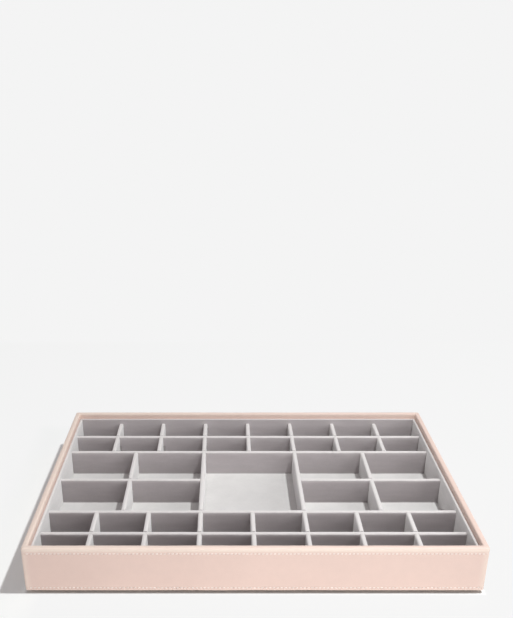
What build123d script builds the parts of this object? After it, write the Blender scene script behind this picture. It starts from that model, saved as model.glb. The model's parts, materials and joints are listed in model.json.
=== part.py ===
from build123d import *
import os
from dataclasses import dataclass, field

# A stackable jewellery tray: a wrapped board box with a velvet liner and fixed dividers.
# The origin is the centre of the underside. X is the length, Y the depth (front is -Y), Z is up.
# All values are millimetres.

# Whole tray
tray_length = 441.0
tray_depth = 305.0
body_height = 48.5

# Plinth under the body, which drops inside the rim of an equal tray below it
plinth_height = 3.4
nesting_clearance = 2.2
plinth_corner_radius = 4.0
underside_lining_thickness = 0.6

# Leatherette wrap
wrap_thickness = 0.9
hem_radius = 0.8
wrap_seam_gap = 0.4
wrap_seam_from_corner = 34.0

# Stitching, in a shallow groove under the rim and another above the hem
stitch_length = 2.7
stitch_gap = 1.0
stitch_width = 0.84
stitch_rise = 0.4
groove_depth = 0.25
groove_margin = 0.13
rim_stitch_drop = 6.3
hem_stitch_rise = 3.2
stitch_corner_margin = 1.2

# Boards of the box
wall_thickness = 4.0
wall_corner_radius = 1.7
wall_top_outer_radius = 1.1
wall_top_inner_radius = 0.7
base_thickness = 4.0
base_rabbet_depth = 1.5
board_clearance = 0.1
corner_lap_share = 0.5

# Velvet liner and floor
velvet_thickness = 1.3
liner_board_thickness = 1.5
floor_board_thickness = 1.2
liner_drop = 6.5
liner_edge_radius = 1.1
liner_back_edge_radius = 0.4

# Dividers; the cells at the front and back walls, and those at the ends, are a little smaller
divider_core_thickness = 2.2
divider_drop = 5.9
divider_rounding_share = 0.375
outer_cell_depth = 34.3
small_cell_depth = 35.7
end_cell_trim = 1.7
joint_clearance = 0.1
tongue_start_share = 0.3
tongue_end_share = 0.7
lap_height_share = 0.5

# Columns of small cells, and where column dividers stand, as shares of the column pitch
column_count = 8
short_column_pitch_shares = (-3, -2, 0, 2, 3)
long_column_pitch_share = 1
middle_column_pitch_share = 2.5

# One overrun for every cut that has to pass a face
overrun = 2.0

# Levels above the surface that the tray stands on
hem_z = plinth_height
board_z = hem_z + wrap_thickness
base_top_z = board_z + base_thickness
floor_board_top_z = base_top_z + floor_board_thickness
floor_z = floor_board_top_z + velvet_thickness
rim_z = plinth_height + body_height
wall_top_z = rim_z - wrap_thickness
liner_z = rim_z - liner_drop
liner_board_top_z = liner_z - velvet_thickness
divider_z = liner_z - divider_drop

# Half sizes in plan, from the outside in: (half length, half depth)
outer_half = (tray_length / 2, tray_depth / 2)
wall_half = tuple(half - wrap_thickness for half in outer_half)
wall_inner_half = tuple(half - wall_thickness for half in wall_half)
clear_half = tuple(half - wrap_thickness for half in wall_inner_half)
liner_board_half = tuple(half - liner_board_thickness for half in clear_half)
inside_half = tuple(half - velvet_thickness for half in liner_board_half)
plinth_half = tuple(half - nesting_clearance for half in clear_half)

# Outside radii of the wrap, which follows the boards
corner_radius = wall_corner_radius + wrap_thickness
rim_outer_radius = wall_top_outer_radius + wrap_thickness
rim_inner_radius = wall_top_inner_radius + wrap_thickness

# Divider grid
divider_thickness = divider_core_thickness + 2 * velvet_thickness
divider_slot_depth = velvet_thickness + divider_core_thickness
liner_wall_thickness = velvet_thickness + liner_board_thickness
column_pitch = (2 * (inside_half[0] + end_cell_trim) + divider_thickness) / column_count
small_row_pitch = small_cell_depth + divider_thickness
outer_row_y = inside_half[1] - outer_cell_depth - divider_thickness / 2
inner_row_y = outer_row_y - small_row_pitch
middle_column_x = middle_column_pitch_share * column_pitch
long_column_x = long_column_pitch_share * column_pitch
short_column_x = [share * column_pitch for share in short_column_pitch_shares]


def slab(half, low_z, high_z, radius=0.0):
    """Upright block centred on the origin, with its vertical corners rounded by radius."""
    outline = Rectangle(2 * half[0], 2 * half[1])
    if radius > 0:
        outline = fillet(outline.vertices(), radius)
    return Pos(0, 0, low_z) * extrude(outline, high_z - low_z)


def block(x_range, y_range, z_range):
    """Block between two values along each axis."""
    low = [min(pair) for pair in (x_range, y_range, z_range)]
    size = [abs(pair[1] - pair[0]) for pair in (x_range, y_range, z_range)]
    return Pos(*low) * Box(*size, align=(Align.MIN, Align.MIN, Align.MIN))


def inset(half, distance):
    """Half sizes made smaller by a distance on each side."""
    return tuple(value - distance for value in half)


def level_loop(solid, half, level):
    """The edges at one level that lie at the given half length or half depth, corners included."""
    near = wrap_thickness / 2

    def on_loop(edge):
        centre = edge.center()
        near_x = abs(abs(centre.X) - half[0]) < near
        near_y = abs(abs(centre.Y) - half[1]) < near
        return abs(centre.Z - level) < near and (near_x or near_y)
    return solid.edges().filter_by(on_loop)


# Box boards

def wall_frame():
    """All four walls as one frame with rounded top edges, before the rabbets are cut."""
    frame = slab(wall_half, board_z, wall_top_z, wall_corner_radius)
    frame -= slab(wall_inner_half, board_z, wall_top_z)
    frame = fillet(level_loop(frame, wall_half, wall_top_z), wall_top_outer_radius)
    return fillet(level_loop(frame, wall_inner_half, wall_top_z), wall_top_inner_radius)


def end_wall_space(side):
    """Space of the front (side -1) or back (side 1) wall board, rabbeted at both ends."""
    y_range = (side * wall_inner_half[1], side * wall_half[1])
    space = block((-wall_half[0], wall_half[0]), y_range, (board_z, rim_z))
    lap_depth = corner_lap_share * wall_thickness
    rabbet_y = (side * wall_inner_half[1], side * (wall_inner_half[1] + lap_depth))
    for end in (-1, 1):
        rabbet_x = (end * wall_inner_half[0], end * wall_half[0])
        space -= block(rabbet_x, rabbet_y, (board_z, rim_z))
    return space


def base_space():
    """Space of the base board, which sits in the rabbets of the four walls."""
    return slab(inset(wall_inner_half, -base_rabbet_depth), board_z, base_top_z)


def wall_boards():
    """Front, back, left and right wall boards by name."""
    frame = wall_frame() - base_space()
    front_space = end_wall_space(-1)
    back_space = end_wall_space(1)
    sides = frame - front_space - back_space
    left, right = sides.solids().sort_by(Axis.X)
    return {
        "front_wall_board": frame & front_space,
        "back_wall_board": frame & back_space,
        "left_wall_board": left,
        "right_wall_board": right,
    }


def base_board():
    """Base board, with a small clearance in the wall rabbets."""
    half = inset(wall_inner_half, board_clearance - base_rabbet_depth)
    return slab(half, board_z, base_top_z)


def plinth_board():
    """Plinth board glued under the base board, inside the turned-under wrap."""
    return slab(plinth_half, underside_lining_thickness, board_z, plinth_corner_radius)


def underside_lining():
    """Thin lining glued over the underside of the plinth: the face that the tray stands on."""
    return slab(plinth_half, 0, underside_lining_thickness, plinth_corner_radius)


# Leatherette wrap

def stitch_levels():
    """Heights of the two stitch lines: under the rim and above the hem."""
    return {"rim": rim_z - rim_stitch_drop, "hem": hem_z + hem_stitch_rise}


def groove(level):
    """Shallow groove round the outside of the body at one stitch line."""
    low_z = level - stitch_width / 2 - groove_margin
    high_z = level + stitch_width / 2 + groove_margin
    outside = slab(inset(outer_half, -overrun), low_z, high_z)
    return outside - slab(inset(outer_half, groove_depth), low_z, high_z, corner_radius - groove_depth)


def outer_wrap():
    """One strip of leatherette round the walls, over the rim, down inside and under the hem."""
    wrap = slab(outer_half, hem_z, rim_z, corner_radius)
    wrap -= slab(clear_half, base_top_z, rim_z)
    wrap = fillet(level_loop(wrap, outer_half, rim_z), rim_outer_radius)
    wrap = fillet(level_loop(wrap, clear_half, rim_z), rim_inner_radius)
    wrap = fillet(level_loop(wrap, outer_half, hem_z), hem_radius)
    wrap -= slab(wall_inner_half, board_z, base_top_z)
    wrap -= slab(plinth_half, hem_z, board_z, plinth_corner_radius)
    wrap -= wall_frame()
    for level in stitch_levels().values():
        wrap -= groove(level)
    seam_x = wrap_seam_from_corner - tray_length / 2
    seam_x_range = (seam_x - wrap_seam_gap / 2, seam_x + wrap_seam_gap / 2)
    wrap -= block(seam_x_range, (0, outer_half[1] + overrun), (hem_z - overrun, rim_z + overrun))
    return wrap


def stitch():
    """One visible stitch along X: flat against the groove at Y 0 and rounded towards -Y."""
    back = Line((0, -stitch_width / 2), (0, stitch_width / 2))
    front = ThreePointArc((0, stitch_width / 2), (-stitch_rise, 0), (0, -stitch_width / 2))
    profile = Plane.YZ * make_face([back, front])
    return extrude(profile, stitch_length / 2, both=True)


def stitch_row(run, place):
    """Group of separate stitches, evenly spaced along a run and moved to a face by place."""
    pitch = stitch_length + stitch_gap
    count = int((run - 2 * (corner_radius + stitch_corner_margin) + stitch_gap) / pitch)
    one = stitch()
    first = -(count - 1) * pitch / 2
    return Compound(children=[place * Pos(first + index * pitch, 0, 0) * one for index in range(count)])


def stitching():
    """The stitches of both lines on all four faces, by name."""
    seat = inset(outer_half, groove_depth)
    rows = {}
    for line, level in stitch_levels().items():
        places = {
            "front": (tray_length, Pos(0, -seat[1], level)),
            "back": (tray_length, Pos(0, seat[1], level) * Rot(0, 0, 180)),
            "left": (tray_depth, Pos(-seat[0], 0, level) * Rot(0, 0, -90)),
            "right": (tray_depth, Pos(seat[0], 0, level) * Rot(0, 0, 90)),
        }
        for face, (run, place) in places.items():
            rows[f"{line}_stitching_{face}"] = stitch_row(run, place)
    return rows


# Dividers

@dataclass
class Strip:
    """A divider along X or Y, with what crosses it and what ends at it."""
    name: str
    axis: str
    across: float
    start: float
    end: float
    wall_ends: tuple = (-1, 1)
    laps: list = field(default_factory=list)
    slots: list = field(default_factory=list)
    group: str = ""

    def bar(self, along, across, z_range):
        """Block given along the strip, across it and in height."""
        moved = (self.across + across[0], self.across + across[1])
        if self.axis == "x":
            return block(along, moved, z_range)
        return block(moved, along, z_range)

    def cuts(self):
        """Half-lap notches where strips cross, and slots that take another strip's tongue."""
        lap_z = floor_z + lap_height_share * (divider_z - floor_z)
        lap_z_range = (floor_z - overrun, lap_z + joint_clearance)
        if self.axis == "y":
            lap_z_range = (lap_z, divider_z + overrun)
        reach = divider_thickness / 2 + joint_clearance
        wide = divider_thickness / 2 + overrun
        parts = [self.bar((at - reach, at + reach), (-wide, wide), lap_z_range) for at in self.laps]
        slot_reach = divider_core_thickness / 2 + joint_clearance
        for at, side in self.slots:
            near = side * (divider_thickness / 2 + overrun)
            far = -side * divider_core_thickness / 2
            along = (at - slot_reach, at + slot_reach)
            parts.append(self.bar(along, (near, far), tongue_z(joint_clearance)))
        return parts

    def core(self):
        """Card core with a tongue at each end."""
        half = divider_core_thickness / 2
        solid = self.bar((self.start, self.end), (-half, half), (floor_z, divider_z - velvet_thickness))
        for at, way in ((self.start, -1), (self.end, 1)):
            depth = liner_wall_thickness if way in self.wall_ends else divider_slot_depth
            tip = at + way * (depth - joint_clearance)
            solid += self.bar((at, tip), (-half, half), tongue_z(0))
        return solid - self.cuts() if self.laps or self.slots else solid

    def velvet(self):
        """Velvet sleeve over both faces and the rounded top of the core, open below."""
        half = divider_thickness / 2
        sleeve = self.bar((self.start, self.end), (-half, half), (floor_z, divider_z))
        along = Axis.X if self.axis == "x" else Axis.Y
        top_edges = sleeve.edges().filter_by(along).group_by(Axis.Z)[-1]
        sleeve = fillet(top_edges, divider_rounding_share * divider_thickness)
        channel = divider_core_thickness / 2
        ends = (self.start - overrun, self.end + overrun)
        sleeve -= self.bar(ends, (-channel, channel), (floor_z - overrun, divider_z - velvet_thickness))
        return sleeve - self.cuts() if self.laps or self.slots else sleeve


def tongue_z(clearance):
    """Height range of every tongue, widened by a clearance for the slot that takes it."""
    height = divider_z - floor_z
    low = floor_z + tongue_start_share * height - clearance
    high = floor_z + tongue_end_share * height + clearance
    return low, high


def strips():
    """Every divider of the tray, from the back to the front and from left to right."""
    half_x, half_y = inside_half
    face = divider_thickness / 2
    long_columns = [-long_column_x, long_column_x]
    middle_columns = [-middle_column_x, middle_column_x]
    all_columns = sorted(short_column_x + long_columns)
    result = []
    row_y = [outer_row_y, inner_row_y, -inner_row_y, -outer_row_y]
    for number, y in enumerate(row_y, start=1):
        row = Strip(f"long_row_divider_{number}", "x", y, -half_x, half_x)
        if abs(y) == outer_row_y:
            row.laps = all_columns
        else:
            outward = 1 if y > 0 else -1
            row.laps = long_columns
            row.slots = [(x, outward) for x in short_column_x]
            row.slots += [(x, -outward) for x in middle_columns]
        result.append(row)
    for side, word in ((-1, "left"), (1, "right")):
        ends = sorted((side * half_x, side * (long_column_x + face)))
        short_row = Strip(f"short_row_divider_{word}", "x", 0, *ends, wall_ends=(side,))
        short_row.laps = [side * middle_column_x]
        result.append(short_row)
        long_column = Strip(f"long_column_divider_{word}", "y", side * long_column_x, -half_y, half_y)
        long_column.laps = row_y
        long_column.slots = [(0, side)]
        result.append(long_column)
        half_run = inner_row_y - face
        middle_x = side * middle_column_x
        middle = Strip(f"middle_column_divider_{word}", "y", middle_x, -half_run, half_run, wall_ends=())
        middle.laps = [0]
        result.append(middle)
    for number, x in enumerate(short_column_x, start=1):
        near_end = inner_row_y + face
        back = Strip(f"back_column_divider_{number}", "y", x, near_end, half_y, wall_ends=(1,))
        back.laps = [outer_row_y]
        back.group = "back_column_divider_cores"
        front = Strip(f"front_column_divider_{number}", "y", x, -half_y, -near_end, wall_ends=(-1,))
        front.laps = [-outer_row_y]
        front.group = "front_column_divider_cores"
        result += [back, front]
    return result


# Liner

def wall_slots(all_strips):
    """Slots through the liner walls for the tongues of the dividers that end there."""
    reach = divider_core_thickness / 2 + joint_clearance
    slots = []
    for strip in all_strips:
        for way in strip.wall_ends:
            at = strip.end if way > 0 else strip.start
            along = (at - way * overrun, at + way * liner_wall_thickness)
            slots.append(strip.bar(along, (-reach, reach), tongue_z(joint_clearance)))
    return slots


def liner_wall(side, axis, board_half_run, velvet_half_run, slots):
    """Board and velvet of one liner wall; side is -1 or 1 along the axis that it faces."""
    across = 0 if axis == "x" else 1
    outer = side * clear_half[across]
    board_face = side * liner_board_half[across]
    velvet_face = side * inside_half[across]

    def wall_block(half_run, depth_range, z_range):
        if axis == "x":
            return block(depth_range, (-half_run, half_run), z_range)
        return block((-half_run, half_run), depth_range, z_range)

    board = wall_block(board_half_run, (outer, board_face), (floor_board_top_z, liner_board_top_z))
    velvet = wall_block(velvet_half_run, (outer, velvet_face), (floor_z, liner_z))
    run_axis = Axis.Y if axis == "x" else Axis.X
    face_axis = Axis.X if axis == "x" else Axis.Y
    top_edges = velvet.edges().filter_by(run_axis).group_by(Axis.Z)[-1].sort_by(face_axis)
    inner_edge, back_edge = (top_edges[0], top_edges[-1]) if side > 0 else (top_edges[-1], top_edges[0])
    velvet = fillet(inner_edge, liner_edge_radius)
    back_edges = velvet.edges().filter_by(run_axis).group_by(face_axis)[-1 if side > 0 else 0]
    velvet = fillet(back_edges.sort_by(Axis.Z)[-1], liner_back_edge_radius)
    velvet -= wall_block(velvet_half_run, (outer, board_face), (floor_z, liner_board_top_z))
    return board - slots, velvet - slots


def liner(all_strips):
    """The four liner walls by name: boards, and the velvet over their face and top."""
    slots = wall_slots(all_strips)
    pieces = {}
    for side, word in ((-1, "front"), (1, "back")):
        board, velvet = liner_wall(side, "y", clear_half[0], clear_half[0], slots)
        pieces[f"liner_board_{word}"] = board
        pieces[f"liner_velvet_{word}"] = velvet
    for side, word in ((-1, "left"), (1, "right")):
        board, velvet = liner_wall(side, "x", liner_board_half[1], inside_half[1], slots)
        pieces[f"liner_board_{word}"] = board
        pieces[f"liner_velvet_{word}"] = velvet
    for word in ("front", "back"):
        for side_word in ("left", "right"):
            pieces[f"liner_velvet_{word}"] -= pieces[f"liner_board_{side_word}"]
    return pieces


def floor_pieces():
    """Floor board on the base board, and the velvet glued over it between the liner boards."""
    return {
        "floor_board": slab(clear_half, base_top_z, floor_board_top_z),
        "floor_velvet": slab(liner_board_half, floor_board_top_z, floor_z),
    }


def divider_pieces(all_strips):
    """Velvet sleeve and core of every divider; the equal short cores share a node."""
    pieces = {}
    groups = {}
    for strip in all_strips:
        pieces[f"{strip.name}_velvet"] = strip.velvet()
        if strip.group:
            groups.setdefault(strip.group, []).append(strip.core())
        else:
            pieces[f"{strip.name}_core"] = strip.core()
    for name, cores in groups.items():
        pieces[name] = Compound(children=cores)
    return pieces


def build():
    """Every piece of the tray by node name."""
    all_strips = strips()
    pieces = {
        "underside_lining": underside_lining(),
        "plinth_board": plinth_board(),
        "base_board": base_board(),
        "outer_wrap": outer_wrap(),
    }
    pieces.update(wall_boards())
    pieces.update(stitching())
    pieces.update(floor_pieces())
    pieces.update(liner(all_strips))
    pieces.update(divider_pieces(all_strips))
    return pieces


os.makedirs("parts", exist_ok=True)
for node_name, shape in build().items():
    export_step(shape, f"parts/{node_name}.step")
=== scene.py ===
"""Dressed model of a stackable jewellery tray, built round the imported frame.

X is the length, Y the depth (the front is -Y) and Z is up. All sizes are in metres.
"""
import json
import logging
import math
from dataclasses import dataclass, field
from enum import Enum
from typing import Any, Callable, ClassVar, Dict, List, Optional, Sequence, Tuple

import bpy
import numpy as np
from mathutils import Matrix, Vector


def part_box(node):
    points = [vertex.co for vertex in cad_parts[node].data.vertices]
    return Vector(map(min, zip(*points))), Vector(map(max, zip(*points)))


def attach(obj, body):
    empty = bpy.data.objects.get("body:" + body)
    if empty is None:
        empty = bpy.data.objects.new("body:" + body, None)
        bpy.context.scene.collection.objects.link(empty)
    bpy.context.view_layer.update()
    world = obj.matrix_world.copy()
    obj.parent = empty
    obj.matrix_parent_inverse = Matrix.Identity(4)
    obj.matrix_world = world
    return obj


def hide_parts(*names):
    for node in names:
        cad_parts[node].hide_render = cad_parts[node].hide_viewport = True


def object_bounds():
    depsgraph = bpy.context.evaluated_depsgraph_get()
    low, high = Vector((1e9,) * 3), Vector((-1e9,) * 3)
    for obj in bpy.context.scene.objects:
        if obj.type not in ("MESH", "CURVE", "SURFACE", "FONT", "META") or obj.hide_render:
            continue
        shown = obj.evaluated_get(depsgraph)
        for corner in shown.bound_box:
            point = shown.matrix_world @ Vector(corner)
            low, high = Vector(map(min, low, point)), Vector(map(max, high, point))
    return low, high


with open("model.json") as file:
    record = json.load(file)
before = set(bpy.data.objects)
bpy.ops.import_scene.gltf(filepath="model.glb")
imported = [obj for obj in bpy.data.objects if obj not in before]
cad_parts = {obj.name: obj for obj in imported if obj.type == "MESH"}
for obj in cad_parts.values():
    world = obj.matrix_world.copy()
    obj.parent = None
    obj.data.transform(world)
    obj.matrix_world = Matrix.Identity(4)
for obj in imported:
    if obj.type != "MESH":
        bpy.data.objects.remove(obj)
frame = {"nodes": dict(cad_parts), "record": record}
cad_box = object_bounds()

LOG = logging.getLogger("tray")
MM = 0.001
TINY = 1e-9
BODY = "root"
UP = np.array([0.0, 0.0, 1.0])

Array = np.ndarray
Span = Tuple[float, float]
Place = Tuple[float, float, float]
Colour = Tuple[float, float, float, float]
Socket = bpy.types.NodeSocket


class Axis(Enum):
    """The axis that a strip runs along."""
    X = 0
    Y = 1


class Face(Enum):
    """A side of the tray: its word in node names, the axis across it, and the way that it faces."""
    FRONT = ("front", 1, -1)
    BACK = ("back", 1, 1)
    LEFT = ("left", 0, -1)
    RIGHT = ("right", 0, 1)

    def __init__(self, word: str, across: int, way: int) -> None:
        """Keeps the values, and finds the unit vectors out of the tray and along the face.

        Args:
            word: word in node names.
            across: index of the axis across the face.
            way: 1 or -1 along that axis.
        """
        self.word = word
        self.across = across
        self.way = way
        self.outward = np.eye(3)[across] * way
        self.along = np.cross(UP, self.outward)


class Hold(Enum):
    """How a sheet of cloth is held, in the frame's words."""
    LAID = "laid"
    FOLDED = "folded"
    STRETCHED = "stretched"


@dataclass(frozen=True)
class Cut:
    """How a sheet of cloth is cut and held, and the nodes that it rests on."""
    flat: Span
    hold: Hold
    rests_on: Sequence[str]


@dataclass(frozen=True)
class Extent:
    """Lowest and highest corner of a node."""
    low: Place
    high: Place

    @classmethod
    def of_node(cls, node: str) -> "Extent":
        """Reads the box of a node of the frame."""
        low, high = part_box(node)
        return cls(tuple(low), tuple(high))

    def span(self, axis: int) -> Span:
        """Lowest and highest value along an axis."""
        return self.low[axis], self.high[axis]

    def side(self, axis: int, way: int) -> float:
        """Highest value along an axis if the way is 1, or the lowest if it is -1."""
        return self.span(axis)[way > 0]

    def middle(self, axis: int) -> float:
        """Value half way along an axis."""
        return sum(self.span(axis)) / 2

    def size(self, axis: int) -> float:
        """Length along an axis."""
        return self.high[axis] - self.low[axis]


# Mesh building

def arc(centre: Span, radius: float, degrees: Span, steps: int) -> Array:
    """Points of an arc: the centre plus the radius times (cosine, sine) of evenly spaced angles."""
    angles = np.radians(np.linspace(*degrees, steps + 1))
    return np.array(centre) + radius * np.stack([np.cos(angles), np.sin(angles)], axis=1)


def upright(across: float, heights: Sequence[float]) -> Array:
    """Points at one distance across and a list of heights."""
    levels = np.asarray(heights, float)
    return np.stack([np.full_like(levels, across), levels], axis=1)


def level(distances: Sequence[float], height: float) -> Array:
    """Points at one height and a list of distances across."""
    return upright(height, distances)[:, ::-1]


def arch(half: float, faces: Array, top: float, radius: float, steps: int = 5) -> Array:
    """Round-topped arch: up one face, over two quarter circles, and down the other face.

    Args:
        half: half the width.
        faces: heights of the points on a face.
        top: height of the top.
        radius: radius of the quarter circles.
        steps: number of parts of each quarter circle.

    Returns:
        Its points, as (place across, height).
    """
    turn = arc((radius - half, top - radius), radius, (180, 90), steps)
    rising = np.concatenate([upright(-half, faces), turn])
    return np.concatenate([rising, rising[::-1] * (-1, 1)])


def bell(distance: Array, width: float, power: int = 2) -> Array:
    """1 at no distance, falling to 0: e to minus the power of the distance over the width."""
    return np.exp(-((distance / width) ** power))


def apart(values: Sequence[float], places: Sequence[float]) -> Array:
    """Distance from each value to the nearest of the places."""
    return np.abs(np.asarray(values, float)[:, None] - np.asarray(places, float)).min(axis=1)


def middles(values: Array) -> Array:
    """Values half way between neighbours."""
    return (values[:-1] + values[1:]) / 2


def within(values: Array, span: Span) -> Array:
    """Whether each value is inside a span."""
    return (values > span[0]) & (values < span[1])


def waves(points: Array, length: float, seed: int, count: int = 7, shortest: float = 0.33) -> Array:
    """Smooth unevenness, mostly between -1 and 1.

    Formula: the mean of some sine waves of the place, each with its own direction, phase and
    wavelength, times two.

    Args:
        points: places, with three values in the last dimension.
        length: longest wavelength.
        seed: seed of the directions, wavelengths and phases.
        count: number of waves.
        shortest: shortest wavelength as a share of the longest.

    Returns:
        One value for each place.
    """
    draw = np.random.default_rng(seed)
    directions = draw.normal(size=(count, 3))
    directions /= np.linalg.norm(directions, axis=1, keepdims=True)
    lengths = length * draw.uniform(shortest, 1.0, count)
    phases = draw.uniform(0, 2 * np.pi, count)
    turns = points @ (directions / lengths[:, None]).T * 2 * np.pi + phases
    return np.sin(turns).mean(axis=-1) * 2


@dataclass(frozen=True)
class Swell:
    """Unevenness of a surface: long waves and a share of short ones."""
    amount: float
    long: float
    short: float = MM
    short_share: float = 0.0

    def at(self, points: Array, seed: int) -> Array:
        """Height of the waves at each point."""
        short = self.short_share * waves(points, self.short, seed + 1)
        return self.amount * (waves(points, self.long, seed) + short)


def both_sides(places: Sequence[float], reach: float) -> List[float]:
    """Places a reach before and after each of the places."""
    return [at + way * reach for at in places for way in (-1, 1)]


def stations(span: Span, spacing: float, marks: Sequence[float], clear: float = 0.3) -> Array:
    """Ascending places along a run: all the marks, and even places that aren't too near to one.

    Args:
        span: first and last place.
        spacing: distance between even places.
        marks: places that must be there.
        clear: share of the spacing that even places keep from a mark.

    Returns:
        The places.
    """
    count = max(2, math.ceil((span[1] - span[0]) / spacing) + 1)
    even = np.linspace(*span, count)
    inside = [mark for mark in (*span, *marks) if span[0] - TINY <= mark <= span[1] + TINY]
    kept = np.unique([round(mark, 7) for mark in inside])
    return np.sort(np.concatenate([even[apart(even, kept) > spacing * clear], kept]))


def shell(outer: Array, inner: Array, keep: Array) -> Tuple[Array, Array, Array, Array]:
    """Sheet with a thickness and cut-outs, from its two sides on one grid.

    Formula: each kept cell gives a quad on the outer side and a turned one on the inner side, and
    each grid edge between a kept cell and a missing one gives a quad that joins the sides.

    Args:
        outer: points of the outer side, (n, m, 3), with first x second direction pointing out.
        inner: points of the inner side, (n, m, 3).
        keep: which cells are there, (n - 1, m - 1).

    Returns:
        Points, quads, for each quad whether it is on the rim, and which grid points are used.
    """
    index = np.arange(outer[..., 0].size).reshape(outer.shape[:2])
    cells = np.stack([index[:-1, :-1], index[1:, :-1], index[1:, 1:], index[:-1, 1:]], axis=-1)[keep]
    quads = [cells, cells[:, ::-1] + index.size]
    padded = np.pad(keep, 1)
    edges = (
        (padded[:-1, 1:-1], padded[1:, 1:-1], index[:, 1:], index[:, :-1]),
        (padded[1:-1, :-1], padded[1:-1, 1:], index[:-1], index[1:]),
    )
    for before, after, first, second in edges:
        for start, end, rim in ((first, second, before & ~after), (second, first, after & ~before)):
            quads.append(np.stack([start, end, end + index.size, start + index.size], axis=-1)[rim])
    joined = np.concatenate(quads)
    points = np.concatenate([outer.reshape(-1, 3), inner.reshape(-1, 3)])
    used, renumbered = np.unique(joined, return_inverse=True)
    return points[used], renumbered.reshape(joined.shape), np.arange(len(joined)) >= 2 * len(cells), used


def make_piece(
    name: str,
    points: Array,
    faces: Sequence[Array],
    flat: Optional[Array] = None,
    wear_and_highlight: Optional[Array] = None,
    uv: Optional[Array] = None,
) -> bpy.types.Object:
    """Object from arrays, at the origin, with smooth shading.

    Args:
        name: name of the piece.
        points: its points, (n, 3).
        faces: arrays of faces, each (count, corners).
        flat: for each face, whether it is shaded flat.
        wear_and_highlight: for each point, how much rubbing and painted highlight it gets, from 0 to 1.
        uv: for each face corner, its place on the piece's own map.

    Returns:
        The object, linked to the scene.
    """
    mesh = bpy.data.meshes.new(name)
    corners = np.concatenate([part.reshape(-1) for part in faces]).astype(np.int32)
    sizes = np.concatenate([np.full(len(part), part.shape[1]) for part in faces])
    starts = np.concatenate([[0], np.cumsum(sizes)[:-1]]).astype(np.int32)
    mesh.vertices.add(len(points))
    mesh.vertices.foreach_set("co", np.asarray(points, np.float32).reshape(-1))
    mesh.loops.add(len(corners))
    mesh.loops.foreach_set("vertex_index", corners)
    mesh.polygons.add(len(starts))
    mesh.polygons.foreach_set("loop_start", starts)
    mesh.polygons.foreach_set("use_smooth", np.ones(len(starts), bool) if flat is None else ~flat)
    mesh.update(calc_edges=True)
    if wear_and_highlight is not None:
        # This attribute marks rubbed edges and painted highlights.
        layer = mesh.attributes.new("wear_and_highlight", "FLOAT", "POINT")
        layer.data.foreach_set("value", np.clip(wear_and_highlight, 0, 1).astype(np.float32))
    if uv is not None:
        layer = mesh.uv_layers.new(name="thread")
        layer.uv.foreach_set("vector", uv.astype(np.float32).reshape(-1))
    mesh.validate()
    piece = bpy.data.objects.new(name, mesh)
    bpy.context.scene.collection.objects.link(piece)
    return piece


def settle(piece: bpy.types.Object, finish: "Finish", node: str) -> None:
    """Gives a piece its finish and its body, hides the node that it replaces, and logs its faces and slot.

    Args:
        piece: the new piece.
        finish: its finish.
        node: name of the node that it replaces.
    """
    piece.data.materials.append(finish.material())
    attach(piece, BODY)
    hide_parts(node)
    LOG.info("%s: %d faces, %s", piece.name, len(piece.data.polygons), finish.slot)


def make_cloth(
    name: str,
    sides: Tuple[Array, Array, Array],
    rubbed: Optional[Array],
    finish: "Finish",
    node: str,
) -> None:
    """Builds a sheet of cloth from its two sides.

    Args:
        name: name of the piece.
        sides: points of the outer and the inner side, and which cells are there.
        rubbed: rubbing and painted highlight at each point of the outer side.
        finish: its finish.
        node: name of the node that it replaces.
    """
    points, quads, rim, used = shell(*sides)
    wear_and_highlight = None if rubbed is None else np.concatenate([rubbed.reshape(-1), 0 * rubbed.reshape(-1)])[used]
    settle(make_piece(name, points, [quads], rim, wear_and_highlight), finish, node)


# Shader building

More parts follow.
